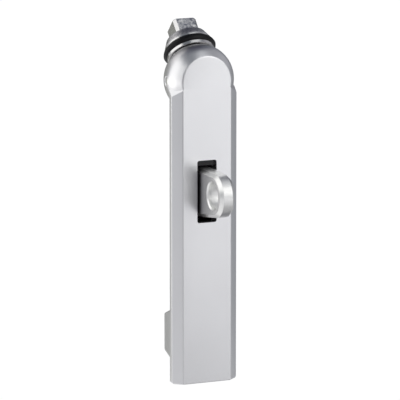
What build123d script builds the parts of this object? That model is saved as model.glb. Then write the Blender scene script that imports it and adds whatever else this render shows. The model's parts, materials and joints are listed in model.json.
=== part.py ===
from build123d import *

import os
from math import atan2, cos, radians, sin, sqrt, tan

# Padlockable lever handle for a door or cabinet lock.
# A die-cast lever hangs from a ball head. A pin through the ball carries the tongue of a
# turned spindle, whose hollow collar rides on the ball and whose square shank drives
# the lock. A staple fixed to the door stands through a slot in the lever, so that a
# padlock in its eye keeps the lever down. The lever has to be lifted off the staple
# before it can turn the spindle.
#
# Frame in millimetres: the origin is the centre of the ball, on the pivot pin's axis.
# X runs across the lever, along the pin. -Y is the lever's front, +Y is towards the door.
# +Z runs up along the lever to its ball head.

# Lever bar
lever_width = 22.6
face_width = 16.6
lever_thickness = 4.1
face_chamfer_depth = 2.4
lever_reach = 98.8
face_offset = 6.7
tip_corner_round = 0.8
face_edge_round = 0.8
outer_edge_round = 0.3
shoulder_drop_inner = 2.3
shoulder_drop_outer = 4.35
shoulder_back_slope = 46.0

# Ball head, drawn in to a cone towards the lever's flat, and its pivot
ball_radius = 11.4
head_cone_slope = 50.0
head_ball_start = 85.0
pin_diameter = 3.0
pin_recess = 0.4
pin_mouth_chamfer = 0.35
pin_end_chamfer = 0.4
lift_angle = 60.0
shown_lift = 46.0

# Spindle tongue and the washers beside it
tongue_thickness = 5.0
tongue_width = 7.0
tongue_eye_radius = 5.0
tongue_play = 0.2
pivot_clearance = 0.05
washer_thickness = 0.5
washer_diameter = 9.4
washer_play = 0.06

# Spindle collar, seal and shank
cup_clearance = 0.25
cup_seat_angle = 33.0
collar_start = 9.15
collar_radius = 7.9
flange_thickness = 0.9
ring_section = 2.5
ring_section_sides = 10
ring_stand_out = 0.75
upper_rim_thickness = 0.5
cone_length = 2.8
cone_end_radius = 6.6
square_size = 8.0
square_chamfer = 0.93
shank_end = 21.6
shank_end_chamfer = 0.3
cam_thread_core = 4.2
cam_thread_depth = 8.0

# Staple with its padlock eye
staple_thickness = 5.3
eye_hole_radius = 4.4
eye_rim = 2.6
eye_stand_off = 10.7
eye_drop = 34.9
eye_bevel = 1.1
eye_hole_chamfer = 0.45
plate_foot_slope = 9.0
base_width = 11.0
base_thickness = 3.0
base_corner_round = 2.0
base_thread_core = 3.3
base_hole_gap = 1.15
base_end_margin = 1.15

# Slot in the lever and the moulded guide behind it
slot_width = 6.7
slot_top_drop = 25.3
slot_corner_round = 0.7
staple_sweep_clearance = 0.2
guide_fit = 0.05
guide_side_clearance = 0.35
guide_inset = 1.1
guide_wall = 2.0
guide_back_chamfer = 0.5
guide_base_gap = 1.0

# Foot and ribs on the back of the lever
door_gap = 11.5
foot_centre_drop = 85.1
foot_face_length = 12.8
foot_face_width = 15.0
foot_flare_top = 5.8
foot_flare_bottom = 4.3
foot_side_draft = 0.5
foot_corner_round = 0.6
foot_wall = 1.9
foot_core_depth = 11.0
rib_width = 2.6
rib_height = 2.6
neck_rib_width = 7.0
neck_rib_overlap = 2.0
sink = 0.5

# Derived places
face_y = -face_offset
back_y = face_y + lever_thickness
chamfer_end_y = face_y + face_chamfer_depth
tip_z = -lever_reach
chamfer_turn = atan2(face_chamfer_depth, (lever_width - face_width) / 2)
flat_half_width = face_width / 2 - face_edge_round * tan(chamfer_turn / 2)
pin_radius = pin_diameter / 2
ball_slot_half = tongue_thickness / 2 + washer_play + washer_thickness
eye_radius = eye_hole_radius + eye_rim
eye_y = face_y - eye_stand_off
eye_z = -eye_drop
slot_top_z = -slot_top_drop
sweep_outer = sqrt(eye_y**2 + eye_z**2) + eye_radius
slot_sweep_radius = sweep_outer + staple_sweep_clearance
staple_top_z = eye_z + eye_radius
sweep_inner = -staple_top_z
guide_inner_radius = sweep_inner - staple_sweep_clearance
guide_half_opening = staple_thickness / 2 + guide_side_clearance
guide_half_width = slot_width / 2 + guide_wall
guide_top_z = slot_top_z + guide_wall
guide_bottom_z = -slot_sweep_radius - guide_wall
base_front_y = door_gap - base_thickness
guide_back_y = base_front_y - guide_base_gap
plate_foot_z = -sqrt(sweep_outer**2 - base_front_y**2)
base_centre_z = (staple_top_z + plate_foot_z) / 2
base_hole_offset = (staple_top_z - plate_foot_z) / 2 + base_hole_gap + base_thread_core / 2
base_length = 2 * (base_hole_offset + base_thread_core / 2 + base_end_margin)
groove_root_radius = collar_radius + ring_stand_out - ring_section
groove_start = collar_start + flange_thickness
groove_end = groove_start + ring_section
cone_start = groove_end + upper_rim_thickness
cone_end = cone_start + cone_length
cup_radius = ball_radius + cup_clearance
far = 2 * lever_reach


def lever_bar():
    """Flat bar with chamfered long edges and two shoulders that slope up to the ball."""
    half = lever_width / 2
    flat = face_width / 2
    section = Polygon(
        (-half, back_y),
        (-half, chamfer_end_y),
        (-flat, face_y),
        (flat, face_y),
        (half, chamfer_end_y),
        (half, back_y),
        align=None,
    )
    bar = extrude(Plane.XY.offset(tip_z) * section, lever_reach)
    tip_corners = bar.edges().filter_by(Axis.Y).group_by(Axis.Z)[0]
    bar = fillet(tip_corners, tip_corner_round)
    long_edges = bar.edges().filter_by(Axis.Z).group_by(Axis.Y)
    bar = fillet(long_edges[0], face_edge_round)
    outer_edges = bar.edges().filter_by(Axis.Z).group_by(Axis.X)
    outer_edges = [edge for edge in outer_edges[0] + outer_edges[-1] if edge.center().Y < back_y]
    bar = fillet(outer_edges, outer_edge_round)
    for side in (-1, 1):
        bar -= shoulder_cut(side)
    return bar


def shoulder_cut(side):
    """Everything above the sloping plane of one shoulder."""
    inner = Vector(side * face_width / 2, face_y, -shoulder_drop_inner)
    outer = Vector(side * lever_width / 2, chamfer_end_y, -shoulder_drop_outer)
    back_rise = Vector(0, 1, tan(radians(shoulder_back_slope)))
    plane = Plane(origin=outer, x_dir=inner - outer, z_dir=side * (outer - inner).cross(back_rise))
    return plane * Pos(0, 0, lever_reach / 2) * Box(far, far, lever_reach)


def head_profile_point(centre, radius, turn):
    """Point of an arc of the head's profile where it has turned that far from the flat."""
    return centre + Vector(sin(radians(turn)), -cos(radians(turn))) * radius


def ball_head():
    """Ball that meets the lever's flat through a smooth bend, a cone and a rounded rim."""
    origin = Vector(0, 0)
    rim_centre = Vector(flat_half_width, face_y + face_edge_round)
    cone_normal = head_profile_point(origin, 1, head_cone_slope)
    cone_reach = rim_centre.dot(cone_normal) + face_edge_round
    closing = cos(radians(head_ball_start - head_cone_slope))
    bend_round = (cone_reach - ball_radius * closing) / (1 - closing)
    bend_centre = head_profile_point(origin, ball_radius - bend_round, head_ball_start)
    face_line = Line((0, face_y), (flat_half_width, face_y))
    rim = JernArc(face_line @ 1, face_line % 1, face_edge_round, head_cone_slope)
    cone = Line(rim @ 1, head_profile_point(bend_centre, bend_round, head_cone_slope))
    bend = JernArc(cone @ 1, cone % 1, bend_round, head_ball_start - head_cone_slope)
    ball = JernArc(bend @ 1, bend % 1, ball_radius, 180 - head_ball_start)
    axis_line = Line(ball @ 1, face_line @ 0)
    return revolve(make_face([face_line, rim, cone, bend, ball, axis_line]), Axis.Y)


def tongue_slot():
    """Room for the tongue over its whole swing, open at the ball's back and top."""
    reach = ball_radius * 2
    side = tongue_width / 2 + tongue_play
    back = Vector(1, 0)
    up = Vector(cos(radians(lift_angle)), sin(radians(lift_angle)))
    outward = Vector(-up.Y, up.X)
    swing = Polygon(
        (0, -side),
        (reach, -side),
        (back + up) * reach,
        up * reach + outward * side,
        outward * side,
        align=None,
    )
    eye = Circle(tongue_eye_radius + tongue_play)
    return extrude(Plane.YZ * (swing + eye), ball_slot_half, both=True)


def along_x(radius, length):
    """Solid cylinder centred on the pivot axis."""
    return Rot(Y=90) * Cylinder(radius, length)


def staple_window(half_width, top_z):
    """Slot that the staple swings through: its lower end is an arc about the pivot."""
    height = slot_sweep_radius + top_z
    window = Pos(0, 0, top_z - height / 2) * Box(2 * half_width, far, height)
    window &= along_x(slot_sweep_radius, 2 * half_width)
    lower_corners = window.edges().filter_by(GeomType.CIRCLE)
    upper_corners = window.edges().filter_by(Axis.Y).group_by(Axis.Z)[-1]
    return fillet(lower_corners + upper_corners, slot_corner_round)


def staple_sweep(half_width):
    """Room below the pivot between the two arcs that bound the staple's swing."""
    sweep = along_x(slot_sweep_radius, 2 * half_width) - along_x(guide_inner_radius, 2 * half_width)
    return sweep & Pos(0, 0, -far / 2) * Box(far, far, far)


def door_side_plane(y, z):
    """Plane parallel to the door, looking towards it."""
    return Plane(origin=(0, y, z), x_dir=(1, 0, 0), z_dir=(0, 1, 0))


def foot_loft(shrink, root_y, end_y):
    """Tapered block between the bar and the door, smaller by shrink on each side."""
    depth = door_gap - back_y
    outlines = []
    for y in (root_y, end_y):
        share = (door_gap - y) / depth
        top = -foot_centre_drop + foot_face_length / 2 + foot_flare_top * share - shrink
        bottom = -foot_centre_drop - foot_face_length / 2 - foot_flare_bottom * share + shrink
        width = foot_face_width + 2 * foot_side_draft * share - 2 * shrink
        outline = RectangleRounded(width, top - bottom, foot_corner_round)
        outlines.append(door_side_plane(y, (top + bottom) / 2) * outline)
    return loft(outlines)


def back_rib(width, top_z, bottom_z):
    """Upright rib on the back of the bar."""
    place = Pos(0, back_y + (rib_height - sink) / 2, (top_z + bottom_z) / 2)
    return place * Box(width, rib_height + sink, top_z - bottom_z)


def make_lever():
    """Bar, ball head, ribs and hollow foot, cast in one piece."""
    lever = lever_bar() + ball_head()
    lever += foot_loft(0, back_y - sink, door_gap)
    lever += back_rib(neck_rib_width, neck_rib_overlap - ball_radius, guide_top_z)
    lever += back_rib(rib_width, guide_bottom_z, -foot_centre_drop + foot_face_length / 2)
    lever -= foot_loft(foot_wall, door_gap - foot_core_depth, door_gap + sink)
    lever -= tongue_slot()
    lever -= along_x(pin_radius, 3 * ball_radius)
    for side in (-1, 1):
        mouth = Cone(pin_radius, pin_radius + 2 * pin_mouth_chamfer, 2 * pin_mouth_chamfer)
        lever -= Pos(side * ball_radius, 0, 0) * Rot(Y=side * 90) * mouth
    lever -= staple_window(slot_width / 2, slot_top_z)
    return lever


def make_pivot_pin():
    """Pin pressed into the ball's two cheeks."""
    pin = along_x(pin_radius, 2 * (ball_radius - pin_recess))
    return chamfer(pin.edges().filter_by(GeomType.CIRCLE), pin_end_chamfer)


def make_pivot_washer(side):
    """Thin washer between the tongue and one cheek."""
    ring = Cylinder(washer_diameter / 2, washer_thickness)
    ring -= Cylinder(pin_radius + pivot_clearance, washer_thickness)
    centre = side * (ball_slot_half - washer_thickness / 2)
    return Pos(centre, 0, 0) * Rot(Y=90) * ring


def along_spindle():
    """Turns a piece built along +Z onto the spindle's axis at the lift shown."""
    return Rot(X=shown_lift - 90)


def spindle_collar():
    """Turned collar: conical seat round the ball, flange, seal groove, rim and cone."""
    seat = radians(cup_seat_angle)
    seat_floor_radius = cup_radius * (1 - cos(seat)) / sin(seat)
    seat_lip_radius = (cup_radius - collar_start * cos(seat)) / sin(seat)
    outline = Polyline(
        (0, cup_radius),
        (seat_floor_radius, cup_radius),
        (seat_lip_radius, collar_start),
        (collar_radius, collar_start),
        (collar_radius, groove_start),
        (groove_root_radius, groove_start),
        (groove_root_radius, groove_end),
        (collar_radius, groove_end),
        (collar_radius, cone_start),
        (cone_end_radius, cone_end),
        (0, cone_end),
        close=True,
    )
    return revolve(Plane.XZ * make_face(outline), Axis.Z)


def spindle_shank():
    """Square drive with chamfered corners and end, tapped for the cam's screw."""
    start = cup_radius + (cone_end - cup_radius) / 2
    square = Rectangle(square_size, square_size)
    square = chamfer(square.vertices(), square_chamfer)
    shank = extrude(Plane.XY.offset(start) * square, shank_end - start)
    shank = chamfer(shank.faces().sort_by(Axis.Z)[-1].edges(), shank_end_chamfer)
    hole = Cylinder(cam_thread_core / 2, cam_thread_depth)
    return shank, Pos(0, 0, shank_end - cam_thread_depth / 2) * hole


def make_spindle():
    """Tongue, collar and square shank in one piece."""
    root = cup_radius + sink
    bar = Pos(root / 2, 0) * Rectangle(root, tongue_width)
    tongue_face = Rot(Z=90) * (bar + Circle(tongue_eye_radius))
    tongue = extrude(Plane.YZ * tongue_face, tongue_thickness / 2, both=True)
    shank, cam_hole = spindle_shank()
    spindle = tongue + spindle_collar() + shank
    spindle -= along_x(pin_radius + pivot_clearance, 2 * tongue_thickness)
    spindle -= cam_hole
    return along_spindle() * spindle


def make_sealing_ring():
    """Round rubber ring in the collar's groove; its section is a many-sided polygon."""
    section = RegularPolygon(ring_section / 2, ring_section_sides)
    centre = (groove_root_radius + ring_section / 2, groove_start + ring_section / 2)
    ring = revolve(Plane.XZ * Pos(*centre) * section, Axis.Z)
    return along_spindle() * ring


def make_slot_guide():
    """Moulded guide: a deep frame behind the lever with a stop in the slot's top end."""
    depth = guide_back_y - back_y
    frame_place = Pos(0, back_y + depth / 2, (guide_top_z + guide_bottom_z) / 2)
    frame = frame_place * Box(2 * guide_half_width, depth, guide_top_z - guide_bottom_z)
    frame = chamfer(frame.edges().group_by(Axis.Y)[-1], guide_back_chamfer)
    frame -= staple_sweep(guide_half_opening)
    stop_depth = lever_thickness - guide_inset
    stop = staple_window(slot_width / 2 - guide_fit, slot_top_z - guide_fit)
    stop &= Pos(0, back_y - stop_depth / 2, 0) * Box(far, stop_depth, far)
    stop -= staple_sweep(slot_width)
    return frame + stop


def staple_plate():
    """Upright plate with the padlock eye; its lower edge widens towards the base."""
    slope = radians(plate_foot_slope)
    end_y = base_front_y + sink
    end_z = eye_z - eye_radius / cos(slope) - tan(slope) * (end_y - eye_y)
    neck = Polygon(
        (eye_y, staple_top_z),
        (end_y, staple_top_z),
        (end_y, end_z),
        (eye_y - eye_radius * sin(slope), eye_z - eye_radius * cos(slope)),
        align=None,
    )
    eye_place = Pos(eye_y, eye_z)
    outline = (neck + eye_place * Circle(eye_radius)) & Circle(sweep_outer)
    plate = extrude(Plane.YZ * outline, staple_thickness / 2, both=True)
    broad_faces = plate.faces().filter_by(Axis.X)
    rims = [edge for face in broad_faces for edge in face.edges() if edge.center().Y < base_front_y]
    plate = chamfer(rims, eye_bevel)
    plate -= extrude(Plane.YZ * eye_place * Circle(eye_hole_radius), staple_thickness, both=True)
    eye_mouths = plate.edges().filter_by(GeomType.CIRCLE).group_by(SortBy.RADIUS)[0]
    return chamfer(eye_mouths, eye_hole_chamfer)


def make_staple():
    """Plate with the padlock eye, standing on a screwed base against the door."""
    base_outline = RectangleRounded(base_width, base_length, base_corner_round)
    base = extrude(door_side_plane(base_front_y, base_centre_z) * base_outline, base_thickness)
    staple = staple_plate() + base
    for side in (-1, 1):
        place = door_side_plane(door_gap, base_centre_z + side * base_hole_offset)
        staple -= place * Cylinder(base_thread_core / 2, 2 * (base_thickness + sink))
    return staple


nodes = {
    "lever": make_lever,
    "pivot_pin": make_pivot_pin,
    "pivot_washer_left": lambda: make_pivot_washer(-1),
    "pivot_washer_right": lambda: make_pivot_washer(1),
    "spindle": make_spindle,
    "sealing_ring": make_sealing_ring,
    "slot_guide": make_slot_guide,
    "staple": make_staple,
}

os.makedirs("parts", exist_ok=True)
for node, build in nodes.items():
    export_step(build(), "parts/" + node + ".step")
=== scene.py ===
import json
from math import cos, pi, radians, sin

import bmesh
import bpy
from mathutils import Matrix, Vector


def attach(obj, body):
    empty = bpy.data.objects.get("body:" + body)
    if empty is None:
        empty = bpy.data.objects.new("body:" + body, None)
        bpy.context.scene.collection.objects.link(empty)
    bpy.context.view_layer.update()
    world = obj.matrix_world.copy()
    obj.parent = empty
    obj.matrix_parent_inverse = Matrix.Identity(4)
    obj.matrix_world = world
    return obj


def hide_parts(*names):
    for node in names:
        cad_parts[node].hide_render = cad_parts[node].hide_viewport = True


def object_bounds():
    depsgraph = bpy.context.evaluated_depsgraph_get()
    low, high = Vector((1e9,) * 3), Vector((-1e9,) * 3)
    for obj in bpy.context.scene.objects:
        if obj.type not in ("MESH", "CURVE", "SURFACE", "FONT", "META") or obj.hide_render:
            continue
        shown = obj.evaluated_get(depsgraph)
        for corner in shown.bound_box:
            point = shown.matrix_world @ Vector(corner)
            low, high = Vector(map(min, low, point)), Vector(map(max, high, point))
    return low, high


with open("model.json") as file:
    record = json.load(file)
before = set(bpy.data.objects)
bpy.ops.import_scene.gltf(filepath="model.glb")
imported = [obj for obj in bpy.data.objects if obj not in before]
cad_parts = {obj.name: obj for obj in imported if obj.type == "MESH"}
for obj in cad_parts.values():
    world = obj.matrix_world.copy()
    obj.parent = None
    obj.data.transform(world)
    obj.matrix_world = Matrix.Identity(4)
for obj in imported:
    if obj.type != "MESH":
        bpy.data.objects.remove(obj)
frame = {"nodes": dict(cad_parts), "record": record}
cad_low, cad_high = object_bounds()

MM = 0.001

# The photograph's frame and the camera fitted to it
PHOTO_PIXELS = 400
SENSOR_WIDTH = 36.0
CAMERA_AZIMUTH = radians(-22.54)
CAMERA_ELEVATION = radians(11.4)
FOCAL_PIXELS = 3417.0
METRES_PER_PIXEL = 0.0003209
BALL_CENTRE_PIXEL = (199.0, 79.2)
CAMERA_REACH = 20.0

# Level directions away from the camera and to its right
AWAY = Vector((-sin(CAMERA_AZIMUTH), cos(CAMERA_AZIMUTH), 0))
RIGHTWARDS = Vector((cos(CAMERA_AZIMUTH), sin(CAMERA_AZIMUTH), 0))

# Places read from the frame
MOUNTS = {mount["name"]: mount for mount in frame["record"]["mounts"]}
SPINDLE_AXIS = Vector(MOUNTS["lock_spindle"]["axis"]).normalized()
OBJECT_CENTRE = (cad_low + cad_high) / 2

# Carried-over CAD meshes: points this close are one, and edges sharper than this stay sharp
MERGE_DISTANCE = 0.002 * MM
CREASE = radians(32)

# Spindle, in distances along its axis: where its cone starts and where its square starts,
# and how far from the axis the square's two milled faces lie
CONE_START = 13.05 * MM
SQUARE_START = 15.85 * MM
MILLED_FACE = 3.95 * MM

# Staple: half the widths at which its cheeks start and its eye's rim ends, and where painted
# shade darkens its cheeks towards the slot
CHEEK_X = 2.6 * MM
RIM_X = 1.5 * MM
SLOT_SHADE_Y = 8.5 * MM
SLOT_SHADE_WIDTH = 5.0 * MM
STAPLE_BASE_THICKNESS = 3.0 * MM

# Widths over which one finish passes into the next
FINISH_EDGE = 0.1 * MM
TURNED_EDGE = 0.2 * MM

# Sealing ring in the collar's groove, and the line that its mould leaves outside
RING_HEIGHT = 11.3 * MM
RING_RADIUS = 7.4 * MM
RING_SECTION_RADIUS = 1.25 * MM
FLASH_RADIUS = 0.07 * MM
RING_TURN_SIDES = 160
RING_SECTION_SIDES = 40
FLASH_SIDES = 8

# Tapped holes: M5 for the cam's screw and M4 for the staple's two screws
CAM_THREAD_PITCH = 0.8 * MM
CAM_THREAD_DEPTH = 0.43 * MM
STAPLE_THREAD_PITCH = 0.7 * MM
STAPLE_THREAD_DEPTH = 0.38 * MM
WALL_TOLERANCE = 0.02 * MM
THREAD_SIDES = 40
THREAD_ROWS_A_TURN = 8
THREAD_SEAM = 0.0005 * MM

# Peened ends of the pivot pin
PIN_END_X = 11.0 * MM
PIN_DOME_RADIUS = 1.42 * MM
PIN_DOME_HEIGHT = 0.3 * MM
DOME_SEGMENTS = 40
DOME_RINGS = 24

# Round marks that four ejector pins leave on the back of the casting and of the guide:
# the middle of the four, how far they lie apart across and along, and their radius
LEVER_MARKS = (Vector((0, -2.6 * MM, -38 * MM)), 15.4 * MM, 43 * MM, 1.6 * MM)
GUIDE_MARKS = (Vector((0, 7.5 * MM, -35.75 * MM)), 8.0 * MM, 21.8 * MM, 0.6 * MM)
MARK_HEIGHT = 0.08 * MM
MARK_TAPER = 0.95
MARK_SIDES = 40

# Floor: how far it lies under the object, its side, and its tones before and behind
FLOOR_DROP = 0.16
FLOOR_SIZE = 8.0
FLOOR_BEFORE = (0.58, 0.58, 0.60)
FLOOR_BEHIND = (1.0, 1.0, 1.0)
FLOOR_FADE = 1.6

SKY = (0.17, 0.185, 0.21, 1)
WHITE = (1, 1, 1)

# Soft lights: name, bearing, elevation, distance, size, radiance and tint
SOFT_LIGHTS = (
    ("left_box", -98, 18, 0.64, (0.8, 0.85), 1.1, (1, 0.985, 0.96)),
    ("front_box", 126, 29, 0.6, (0.52, 0.5), 1.31, (1, 0.99, 0.97)),
    ("front_low_box", 128, -7, 0.62, (0.46, 0.16), 0.68, WHITE),
    ("top_box", 112, 70, 0.6, (0.34, 0.36), 0.6, WHITE),
)

# Cards that the metal mirrors: name, bearing, elevation, distance, size and tone
CARDS = (
    ("right_card", 54, -8, 0.5, (0.46, 0.4), (0.30, 0.31, 0.33)),
    ("right_high_card", 58, 30, 0.5, (0.5, 0.3), (0.42, 0.42, 0.45)),
    ("left_back_card", -35, -6, 0.5, (0.36, 0.4), (0.21, 0.215, 0.195)),
    ("camera_card", 174, -8, 0.6, (0.44, 0.3), (0.25, 0.25, 0.26)),
    ("camera_high_card", 172, 26, 0.6, (0.4, 0.28), (0.85, 0.85, 0.85)),
    ("table_card", 135, -68, 0.2, (0.2, 0.12), (0.33, 0.33, 0.34)),
    ("back_card", 8, -6, 0.5, (0.44, 0.34), (0.07, 0.07, 0.08)),
    ("back_high_card", 44, 50, 0.5, (0.22, 0.22), (0.32, 0.32, 0.35)),
    ("left_high_card", -46, 35, 0.5, (0.2, 0.26), (0.85, 0.83, 0.83)),
    ("top_back_card", -8, 56, 0.5, (0.42, 0.3), (0.02, 0.02, 0.05)),
    ("low_back_card", 50, -66, 0.2, (0.16, 0.12), (0.12, 0.12, 0.14)),
    ("low_front_card", 100, -60, 0.2, (0.3, 0.16), (0.42, 0.42, 0.43)),
)


class Field:
    """A value in a node tree that takes part in Python arithmetic."""

    def __init__(self, tree, socket):
        self.tree = tree
        self.socket = socket

    def _maths(self, operation, first, second=0.0):
        return self.tree.node("ShaderNodeMath", {"operation": operation}, {0: first, 1: second})

    def __add__(self, other):
        return self._maths("ADD", self, other)

    def __radd__(self, other):
        return self._maths("ADD", other, self)

    def __sub__(self, other):
        return self._maths("SUBTRACT", self, other)

    def __rsub__(self, other):
        return self._maths("SUBTRACT", other, self)

    def __mul__(self, other):
        return self._maths("MULTIPLY", self, other)

    def __rmul__(self, other):
        return self._maths("MULTIPLY", other, self)

    def __truediv__(self, other):
        return self._maths("DIVIDE", self, other)

    def size(self):
        """The value without its sign."""
        return self._maths("ABSOLUTE", self)

    def cosine(self):
        return self._maths("COSINE", self)

    def sine(self):
        return self._maths("SINE", self)

    def at_most(self, limit):
        return self._maths("MINIMUM", self, limit)

    def zigzag(self):
        """Runs from 0 to 1 and back over each whole step of the value."""
        return self._maths("PINGPONG", self, 0.5) * 2.0

    def above(self, edge, width):
        """0 below the edge, 1 above it, over a soft step of that width."""
        return self.tree.node(
            "ShaderNodeMapRange",
            {"interpolation_type": "SMOOTHSTEP"},
            {"Value": self, "From Min": edge - width / 2, "From Max": edge + width / 2},
        )


class Tree:
    """Node tree that is built from expressions."""

    def __init__(self, nodes, links):
        self.nodes = nodes
        self.links = links

    def fill(self, socket, value):
        """Links a field to a socket, or gives the socket a constant."""
        if isinstance(value, Field):
            self.links.new(value.socket, socket)
        else:
            socket.default_value = value

    def node(self, kind, settings=None, inputs=None, output=0):
        """Adds any node: its settings first, then the values or links of its sockets."""
        made = self.nodes.new(kind)
        for key, value in (settings or {}).items():
            setattr(made, key, value)
        for key, value in (inputs or {}).items():
            self.fill(made.inputs[key], value)
        return Field(self, made.outputs[output])

    def vector(self, x=0.0, y=0.0, z=0.0):
        return self.node("ShaderNodeCombineXYZ", {}, {"X": x, "Y": y, "Z": z})


class Shader(Tree):
    """One material with a Principled surface."""

    def __init__(self, name, **constants):
        self.material = bpy.data.materials.new(name)
        self.material.use_nodes = True
        super().__init__(self.material.node_tree.nodes, self.material.node_tree.links)
        self.surface = self.nodes["Principled BSDF"]
        for socket, value in constants.items():
            self.set(socket.replace("_", " "), value)

    def set(self, socket, value):
        """Gives one socket of the surface a constant or a varying field."""
        self.fill(self.surface.inputs[socket], value)

    def place(self):
        """Object coordinates, in metres."""
        return self.node("ShaderNodeTexCoord", output="Object")

    def along(self, direction):
        """Distance along a direction from the object's origin, in metres."""
        return self.node(
            "ShaderNodeVectorMath",
            {"operation": "DOT_PRODUCT"},
            {0: self.place(), 1: tuple(direction)},
            output="Value",
        )

    def noise(self, scale, detail=2.0, roughness=0.5, where=None):
        """Noise over the object, in features a metre, or over the given vector."""
        return self.node(
            "ShaderNodeTexNoise",
            {},
            {
                "Vector": where or self.place(),
                "Scale": scale,
                "Detail": detail,
                "Roughness": roughness,
            },
        )

    def blend(self, factor, low, high):
        """Mixes two colours."""
        return self.node(
            "ShaderNodeMix",
            {"data_type": "RGBA"},
            {0: factor, 6: (*low, 1), 7: (*high, 1)},
            output=2,
        )

    def bump(self, height, distance, strength):
        """Turns a height field into a normal."""
        return self.node(
            "ShaderNodeBump", {}, {"Height": height, "Distance": distance, "Strength": strength}
        )


class Shape(Tree):
    """Geometry Nodes tree with named sizes, which ends as a plain mesh."""

    def __init__(self, name, **sizes):
        self.name = name
        self.group = bpy.data.node_groups.new(name, "GeometryNodeTree")
        super().__init__(self.group.nodes, self.group.links)
        self.sizes = sizes
        self.identifiers = {}
        for size in sizes:
            socket = self.group.interface.new_socket(
                size, in_out="INPUT", socket_type="NodeSocketFloat"
            )
            self.identifiers[size] = socket.identifier
        self.group.interface.new_socket(
            "Geometry", in_out="OUTPUT", socket_type="NodeSocketGeometry"
        )
        self.entry = self.nodes.new("NodeGroupInput")

    def given(self, size):
        """One of the named sizes."""
        return Field(self, self.entry.outputs[size])

    def parts(self, vector):
        """The three parts of a vector."""
        split = self.node("ShaderNodeSeparateXYZ", {}, {0: vector}).socket.node
        return [Field(self, split.outputs[part]) for part in "XYZ"]

    def join(self, pieces):
        """Several geometries as one."""
        both = self.node("GeometryNodeJoinGeometry")
        for piece in pieces:
            self.links.new(piece.socket, both.socket.node.inputs["Geometry"])
        return both

    def circle(self, radius, sides):
        return self.node(
            "GeometryNodeCurvePrimitiveCircle", {}, {"Resolution": sides, "Radius": radius}
        )

    def smooth(self, geometry):
        return self.node("GeometryNodeSetShadeSmooth", {}, {"Geometry": geometry})

    def copies(self, points, piece):
        """One copy of a piece on each point."""
        return self.node(
            "GeometryNodeInstanceOnPoints", {}, {"Points": points, "Instance": piece}
        )

    def mesh(self, geometry, material):
        """Realizes the geometry, gives it its material and returns the mesh."""
        real = self.node("GeometryNodeRealizeInstances", {}, {"Geometry": geometry})
        dressed = self.node(
            "GeometryNodeSetMaterial", {}, {"Geometry": real, "Material": material}
        )
        leave = self.nodes.new("NodeGroupOutput")
        self.links.new(dressed.socket, leave.inputs["Geometry"])
        carrier = bpy.data.objects.new(self.name, bpy.data.meshes.new(self.name))
        bpy.context.scene.collection.objects.link(carrier)
        modifier = carrier.modifiers.new(self.name, "NODES")
        modifier.node_group = self.group
        for size, value in self.sizes.items():
            modifier[self.identifiers[size]] = value
        carrier.update_tag()
        bpy.context.view_layer.update()
        evaluated = carrier.evaluated_get(bpy.context.evaluated_depsgraph_get())
        mesh = bpy.data.meshes.new_from_object(evaluated)
        bpy.data.objects.remove(carrier)
        return mesh


def satin_casting():
    """Silver satin coat on the zinc casting, with the fine grain of a blasted surface."""
    coat = Shader("satin_casting", Metallic=1.0)
    grain = coat.noise(5200, detail=3.0, roughness=0.6)
    cloud = coat.noise(55)
    coat.set("Base Color", coat.blend(cloud, (0.78, 0.78, 0.79), (0.83, 0.83, 0.84)))
    coat.set("Roughness", 0.33 + 0.06 * grain)
    coat.set("Normal", coat.bump(grain, distance=0.012 * MM, strength=0.6))
    return coat.material


def plated_steel():
    """Bright plating: a turned collar, a pitted cone and a square with two milled faces."""
    plate = Shader("plated_steel", Metallic=1.0)
    height = plate.along(SPINDLE_AXIS)
    beside = plate.along(SPINDLE_AXIS.cross(Vector((1, 0, 0)))).size()
    lathe_lines = plate.noise(4500, roughness=0.6, where=plate.vector(x=height))
    pits = plate.noise(1300, detail=4.0, roughness=0.7)
    patches = plate.noise(380, detail=3.0, roughness=0.6)
    square = height.above(SQUARE_START, TURNED_EDGE)
    cone = height.above(CONE_START, TURNED_EDGE) * (1 - square)
    milled = square * beside.above(MILLED_FACE, FINISH_EDGE)
    plain_sides = square * (1 - milled)
    dull = pits.above(0.5, 0.2) * 0.6 + patches.above(0.47, 0.2) * 0.4
    tone = dull * milled + dull * cone * 0.6 + lathe_lines * 0.25 * (1 - milled)
    plate.set("Base Color", plate.blend(tone, (0.80, 0.79, 0.78), (0.16, 0.17, 0.21)))
    rough = 0.16 + 0.24 * pits * milled + 0.08 * lathe_lines
    plate.set("Roughness", rough + 0.06 * plain_sides + 0.19 * cone)
    relief = lathe_lines * 0.4 * (1 - square) + pits * (milled + cone)
    plate.set("Normal", plate.bump(relief, distance=0.09 * MM, strength=0.8))
    return plate.material


def brushed_staple():
    """Tumbled steel: lines round the eye's rim, dents on the cheeks, and painted shade on the
    cheeks by the slot.
    """
    steel = Shader("brushed_staple", Metallic=1.0)
    across = steel.along((1, 0, 0))
    out = steel.along((0, -1, 0))
    coarse_lines = steel.noise(1900, roughness=0.7, where=steel.vector(x=across))
    fine_lines = steel.noise(7000, roughness=0.6, where=steel.vector(x=across))
    dents = steel.noise(1100, detail=3.0, roughness=0.6)
    cheek = across.size().above(CHEEK_X, FINISH_EDGE)
    rim = 1 - across.size().above(RIM_X, FINISH_EDGE)
    # Painted shade: the cheeks darken towards the slot, in place of the slot's shadow and dark
    # reflection
    painted_slot_shade = cheek * (1 - out.above(SLOT_SHADE_Y, SLOT_SHADE_WIDTH))
    # Dents, rim lines and duller cheeks are wear; the slot term is painted shade
    wear_and_slot_shade = dents * 0.25 + coarse_lines * 0.35 * rim + cheek * 0.5 + painted_slot_shade * 0.8
    steel.set("Base Color", steel.blend(wear_and_slot_shade, (0.97, 0.97, 0.95), (0.40, 0.40, 0.41)))
    steel.set("Roughness", 0.26 + 0.1 * dents + 0.05 * rim)
    relief = coarse_lines * 0.5 * rim + fine_lines * 0.2 + dents * 0.2
    steel.set("Normal", steel.bump(relief, distance=0.09 * MM, strength=0.7))
    return steel.material


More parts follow.
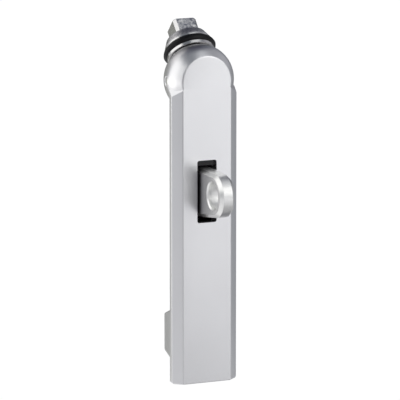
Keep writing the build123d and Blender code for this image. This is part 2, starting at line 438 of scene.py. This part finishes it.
def pin_steel():
    """Bright peened pin."""
    steel = Shader("pin_steel", Metallic=1.0)
    grain = steel.noise(3000)
    steel.set("Base Color", steel.blend(grain, (0.88, 0.88, 0.86), (0.78, 0.78, 0.77)))
    steel.set("Roughness", 0.30 + 0.06 * grain)
    return steel.material


def seal_rubber():
    """Glossy black rubber."""
    rubber = Shader("seal_rubber", Metallic=0.0, IOR=1.27)
    grain = rubber.noise(3000)
    black = rubber.blend(grain, (0.004, 0.004, 0.005), (0.010, 0.010, 0.011))
    rubber.set("Base Color", black)
    rubber.set("Roughness", 0.26 + 0.14 * grain)
    rubber.set("Normal", rubber.bump(grain, distance=0.02 * MM, strength=0.5))
    return rubber.material


def guide_plastic():
    """Black moulded plastic with an eroded texture."""
    plastic = Shader("guide_plastic", Metallic=0.0)
    grain = plastic.noise(4200, detail=3.0, roughness=0.6)
    black = plastic.blend(grain, (0.006, 0.006, 0.007), (0.016, 0.016, 0.017))
    plastic.set("Base Color", black)
    plastic.set("Roughness", 0.45 + 0.2 * grain)
    plastic.set("Normal", plastic.bump(grain, distance=0.03 * MM, strength=0.6))
    return plastic.material


def washer_plastic():
    """Black acetal, slightly waxy."""
    plastic = Shader("washer_plastic", Metallic=0.0)
    grain = plastic.noise(2500)
    plastic.set("Base Color", plastic.blend(grain, (0.02, 0.02, 0.02), (0.04, 0.04, 0.04)))
    plastic.set("Roughness", 0.35 + 0.1 * grain)
    return plastic.material


def show(name, mesh, body, node=None):
    """Shows a finished mesh as a piece on a body, in place of a CAD node where one is named."""
    piece = bpy.data.objects.new(name, mesh)
    bpy.context.scene.collection.objects.link(piece)
    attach(piece, body)
    if node:
        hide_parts(node)


def smooth_copy(node, material, body, hole_walls=()):
    """A merged, smoothly shaded piece for one CAD node, open where threads line its holes."""
    mesh = frame["nodes"][node].data.copy()
    mesh.materials.clear()
    mesh.materials.append(material)
    work = bmesh.new()
    work.from_mesh(mesh)
    bmesh.ops.remove_doubles(work, verts=work.verts, dist=MERGE_DISTANCE)
    for wall in hole_walls:
        faces = [face for face in work.faces if all(wall.holds(vert.co) for vert in face.verts)]
        bmesh.ops.delete(work, geom=faces, context="FACES")
    for face in work.faces:
        face.smooth = True
    for edge in work.edges:
        edge.smooth = len(edge.link_faces) == 2 and edge.calc_face_angle(0.0) <= CREASE
    work.to_mesh(mesh)
    work.free()
    if mesh.attributes.get("custom_normal"):
        mesh.attributes.remove(mesh.attributes["custom_normal"])
    show(node + "_shown", mesh, body, node)


def onto_axis(middle, axis):
    """Turns +Z onto an axis and moves the origin to the axis's middle."""
    turn = Vector((0, 0, 1)).rotation_difference(axis).to_matrix().to_4x4()
    return Matrix.Translation(middle) @ turn


class HoleWall:
    """Cylindrical wall of a tapped hole: its middle, axis, core radius and length."""

    def __init__(self, middle, axis, radius, length):
        self.middle = Vector(middle)
        self.axis = Vector(axis).normalized()
        self.radius = radius
        self.length = length

    def holds(self, point):
        """Whether a point of the CAD mesh lies on the wall."""
        away = point - self.middle
        height = away.dot(self.axis)
        radius = (away - self.axis * height).length
        on_length = abs(height) < self.length / 2 + WALL_TOLERANCE
        return on_length and abs(radius - self.radius) < WALL_TOLERANCE


def thread(name, wall, pitch, depth, material, slot_name, body):
    """Screw thread that lines a hole: it runs out to nothing at both ends of the wall."""
    shape = Shape(name, core_radius=wall.radius, length=wall.length, pitch=pitch, depth=depth)
    rows = int(wall.length / pitch * THREAD_ROWS_A_TURN) + 1
    sheet = shape.node(
        "GeometryNodeMeshGrid",
        {},
        {"Size X": 1.0, "Size Y": 1.0, "Vertices X": THREAD_SIDES + 1, "Vertices Y": rows},
    )
    turn, rise, _ = shape.parts(shape.node("GeometryNodeInputPosition"))
    height = rise * shape.given("length")
    fade = ((0.5 - rise.size()) * shape.given("length") / shape.given("pitch")).at_most(1.0)
    groove = (height / shape.given("pitch") - turn).zigzag()
    radius = shape.given("core_radius") + shape.given("depth") * groove * fade
    angle = turn * 2 * pi
    wrapped = shape.vector(radius * angle.cosine(), radius * angle.sine(), height)
    tube = shape.node("GeometryNodeSetPosition", {}, {"Geometry": sheet, "Position": wrapped})
    closed = shape.node(
        "GeometryNodeMergeByDistance", {}, {"Geometry": tube, "Distance": THREAD_SEAM}
    )
    inward = shape.node("GeometryNodeFlipFaces", {}, {"Mesh": closed})
    mesh = shape.mesh(inward, material)
    mesh.transform(onto_axis(wall.middle, wall.axis))
    show(name, mesh, body)


def sealing_ring(material):
    """Round ring in the collar's groove, with the fine line its mould leaves outside."""
    shape = Shape(
        "sealing_ring_round",
        ring_radius=RING_RADIUS,
        section_radius=RING_SECTION_RADIUS,
        flash_radius=FLASH_RADIUS,
    )
    ring_radius, section = shape.given("ring_radius"), shape.given("section_radius")
    loops = []
    for radius, thickness, sides in (
        (ring_radius, section, RING_SECTION_SIDES),
        (ring_radius + section, shape.given("flash_radius"), FLASH_SIDES),
    ):
        path = shape.circle(radius, RING_TURN_SIDES)
        profile = shape.circle(thickness, sides)
        loops.append(
            shape.node("GeometryNodeCurveToMesh", {}, {"Curve": path, "Profile Curve": profile})
        )
    mesh = shape.mesh(shape.smooth(shape.join(loops)), material)
    mesh.transform(onto_axis(SPINDLE_AXIS * RING_HEIGHT, SPINDLE_AXIS))
    show("sealing_ring_round", mesh, "spindle", "sealing_ring")


def pin_domes(material):
    """Slightly domed ends that the peening leaves on the pivot pin."""
    shape = Shape("pin_domes", dome_radius=PIN_DOME_RADIUS, dome_height=PIN_DOME_HEIGHT)
    ball = shape.node(
        "GeometryNodeMeshUVSphere",
        {},
        {"Segments": DOME_SEGMENTS, "Rings": DOME_RINGS, "Radius": 1.0},
    )
    radius, height = shape.given("dome_radius"), shape.given("dome_height")
    flattened = shape.node(
        "GeometryNodeTransform",
        {},
        {"Geometry": ball, "Scale": shape.vector(height, radius, radius)},
    )
    ends = shape.node(
        "GeometryNodeMeshLine",
        {"mode": "END_POINTS"},
        {"Count": 2, "Start Location": (-PIN_END_X, 0, 0), "Offset": (PIN_END_X, 0, 0)},
    )
    domes = shape.smooth(shape.copies(ends, flattened))
    show("pin_domes", shape.mesh(domes, material), "lever")


def ejector_marks(name, marks, material):
    """Four low round marks in a rectangle on a face of the lever's body towards the door."""
    middle, across, along, mark_radius = marks
    shape = Shape(
        name,
        mark_radius=mark_radius,
        mark_height=MARK_HEIGHT,
        spread_across=across,
        spread_along=along,
    )
    corners = shape.node(
        "GeometryNodeMeshGrid",
        {},
        {
            "Size X": shape.given("spread_across"),
            "Size Y": shape.given("spread_along"),
            "Vertices X": 2,
            "Vertices Y": 2,
        },
    )
    disc = shape.node(
        "GeometryNodeMeshCone",
        {},
        {
            "Vertices": MARK_SIDES,
            "Radius Top": shape.given("mark_radius") * MARK_TAPER,
            "Radius Bottom": shape.given("mark_radius"),
            "Depth": shape.given("mark_height"),
        },
    )
    mesh = shape.mesh(shape.copies(corners, disc), material)
    mesh.transform(Matrix.Translation(middle) @ Matrix.Rotation(-pi / 2, 4, "X"))
    show(name, mesh, "lever")


def place_camera():
    """Camera at the photograph's angle, distance and framing."""
    back = Vector(
        (
            sin(CAMERA_AZIMUTH) * cos(CAMERA_ELEVATION),
            -cos(CAMERA_AZIMUTH) * cos(CAMERA_ELEVATION),
            sin(CAMERA_ELEVATION),
        )
    )
    up = back.cross(RIGHTWARDS)
    middle = PHOTO_PIXELS / 2
    across = (BALL_CENTRE_PIXEL[0] - middle) * METRES_PER_PIXEL
    above = (middle - BALL_CENTRE_PIXEL[1]) * METRES_PER_PIXEL
    data = bpy.data.cameras.new("photo_camera")
    data.sensor_width = SENSOR_WIDTH
    data.lens = SENSOR_WIDTH * FOCAL_PIXELS / PHOTO_PIXELS
    data.clip_end = CAMERA_REACH
    camera = bpy.data.objects.new("photo_camera", data)
    turn = Matrix((RIGHTWARDS, up, back)).transposed().to_4x4()
    place = back * FOCAL_PIXELS * METRES_PER_PIXEL - RIGHTWARDS * across - up * above
    camera.matrix_world = Matrix.Translation(place) @ turn
    bpy.context.scene.collection.objects.link(camera)
    bpy.context.scene.camera = camera


def around(bearing, elevation, distance):
    """A place seen from the object: bearing 0 lies straight behind it, 90 to its right."""
    level = AWAY * cos(radians(bearing)) + RIGHTWARDS * sin(radians(bearing))
    rise = Vector((0, 0, sin(radians(elevation))))
    return OBJECT_CENTRE + (level * cos(radians(elevation)) + rise) * distance


def face_object(thing, place):
    """Puts a flat thing at a place and turns it towards the object."""
    thing.location = place
    thing.rotation_mode = "QUATERNION"
    thing.rotation_quaternion = (OBJECT_CENTRE - place).to_track_quat("-Z", "Y")


def stage_sheet(name, size):
    """A rectangle that belongs to the studio, centred on its own origin."""
    mesh = bpy.data.meshes.new(name)
    across, up = size[0] / 2, size[1] / 2
    corners = [(-across, -up, 0), (across, -up, 0), (across, up, 0), (-across, up, 0)]
    mesh.from_pydata(corners, [], [(0, 1, 2, 3)])
    sheet = bpy.data.objects.new(name, mesh)
    bpy.context.scene.collection.objects.link(sheet)
    return sheet


def reflected_card(name, bearing, elevation, distance, size, tone):
    """Plain card beside the object, which the metal mirrors and the camera doesn't see."""
    card = stage_sheet(name, size)
    face_object(card, around(bearing, elevation, distance))
    card.visible_camera = False
    card.visible_shadow = False
    card.visible_diffuse = False
    paper = Shader(name, Base_Color=(0, 0, 0, 1), Roughness=1.0, Specular_IOR_Level=0.0)
    paper.set("Emission Color", (*tone, 1))
    paper.set("Emission Strength", 1.0)
    card.data.materials.append(paper.material)


def soft_light(name, bearing, elevation, distance, size, radiance, tint):
    """Rectangular softbox that faces the object."""
    data = bpy.data.lights.new(name, "AREA")
    data.shape = "RECTANGLE"
    data.size, data.size_y = size
    data.energy = radiance * pi * size[0] * size[1]
    data.color = tint
    light = bpy.data.objects.new(name, data)
    face_object(light, around(bearing, elevation, distance))
    light.visible_camera = False
    bpy.context.scene.collection.objects.link(light)


def pale_floor():
    """Even pale floor, a little brighter behind the object than before it."""
    floor = stage_sheet("floor", (FLOOR_SIZE, FLOOR_SIZE))
    floor.location = (0, 0, cad_low.z - FLOOR_DROP)
    paper = Shader("floor_paper", Roughness=0.9, Specular_IOR_Level=0.1)
    behind = paper.along(AWAY).above(0.0, FLOOR_FADE)
    paper.set("Base Color", (0.10, 0.10, 0.10, 1))
    paper.set("Emission Color", paper.blend(behind, FLOOR_BEFORE, FLOOR_BEHIND))
    paper.set("Emission Strength", 1.0)
    floor.data.materials.append(paper.material)


def build_studio():
    """Pale floor, dim surroundings, soft lights and the cards that the metal mirrors."""
    pale_floor()
    world = bpy.data.worlds.new("studio")
    world.use_nodes = True
    world.node_tree.nodes["Background"].inputs["Color"].default_value = SKY
    bpy.context.scene.world = world
    for light in SOFT_LIGHTS:
        soft_light(*light)
    for card in CARDS:
        reflected_card(*card)


def hole_walls():
    """Walls of the cam screw's hole and of the staple's two screw holes."""
    cam_hole, screws = MOUNTS["cam_screw_hole"], MOUNTS["staple_screws"]
    cam_wall = HoleWall(
        cam_hole["pos_m"],
        cam_hole["axis"],
        cam_hole["dims"]["r_mm"] * MM,
        cam_hole["dims"]["length_mm"] * MM,
    )
    radius = screws["dims"]["hole_r_mm"] * MM
    half_spacing = screws["dims"]["spacing_y_mm"] * MM / 2
    screw_walls = []
    for side in (-1, 1):
        offset = Vector((0, -STAPLE_BASE_THICKNESS / 2, side * half_spacing))
        middle = Vector(screws["pos_m"]) + offset
        screw_walls.append(HoleWall(middle, screws["axis"], radius, STAPLE_BASE_THICKNESS))
    return cam_wall, screw_walls


def dress_object():
    """Gives every node its finished piece and adds the threads and moulding marks."""
    silver, plate, steel = satin_casting(), plated_steel(), brushed_staple()
    plastic, washer = guide_plastic(), washer_plastic()
    cam_wall, screw_walls = hole_walls()

    smooth_copy("lever", silver, "lever")
    pin = pin_steel()
    smooth_copy("pivot_pin", pin, "lever")
    pin_domes(pin)
    for side in ("left", "right"):
        smooth_copy("pivot_washer_" + side, washer, "lever")
    smooth_copy("slot_guide", plastic, "lever")
    smooth_copy("spindle", plate, "spindle", hole_walls=[cam_wall])
    smooth_copy("staple", steel, "staple", hole_walls=screw_walls)
    sealing_ring(seal_rubber())

    cam_thread = (CAM_THREAD_PITCH, CAM_THREAD_DEPTH, plate, "plated_steel", "spindle")
    staple_thread = (STAPLE_THREAD_PITCH, STAPLE_THREAD_DEPTH, steel, "staple_steel", "staple")
    thread("cam_thread", cam_wall, *cam_thread)
    for name, wall in zip(("staple_thread_low", "staple_thread_high"), screw_walls):
        thread(name, wall, *staple_thread)
    ejector_marks("lever_ejector_marks", LEVER_MARKS, silver)
    ejector_marks("guide_ejector_marks", GUIDE_MARKS, plastic)


bpy.context.scene.view_settings.view_transform = "Standard"
place_camera()
build_studio()
dress_object()
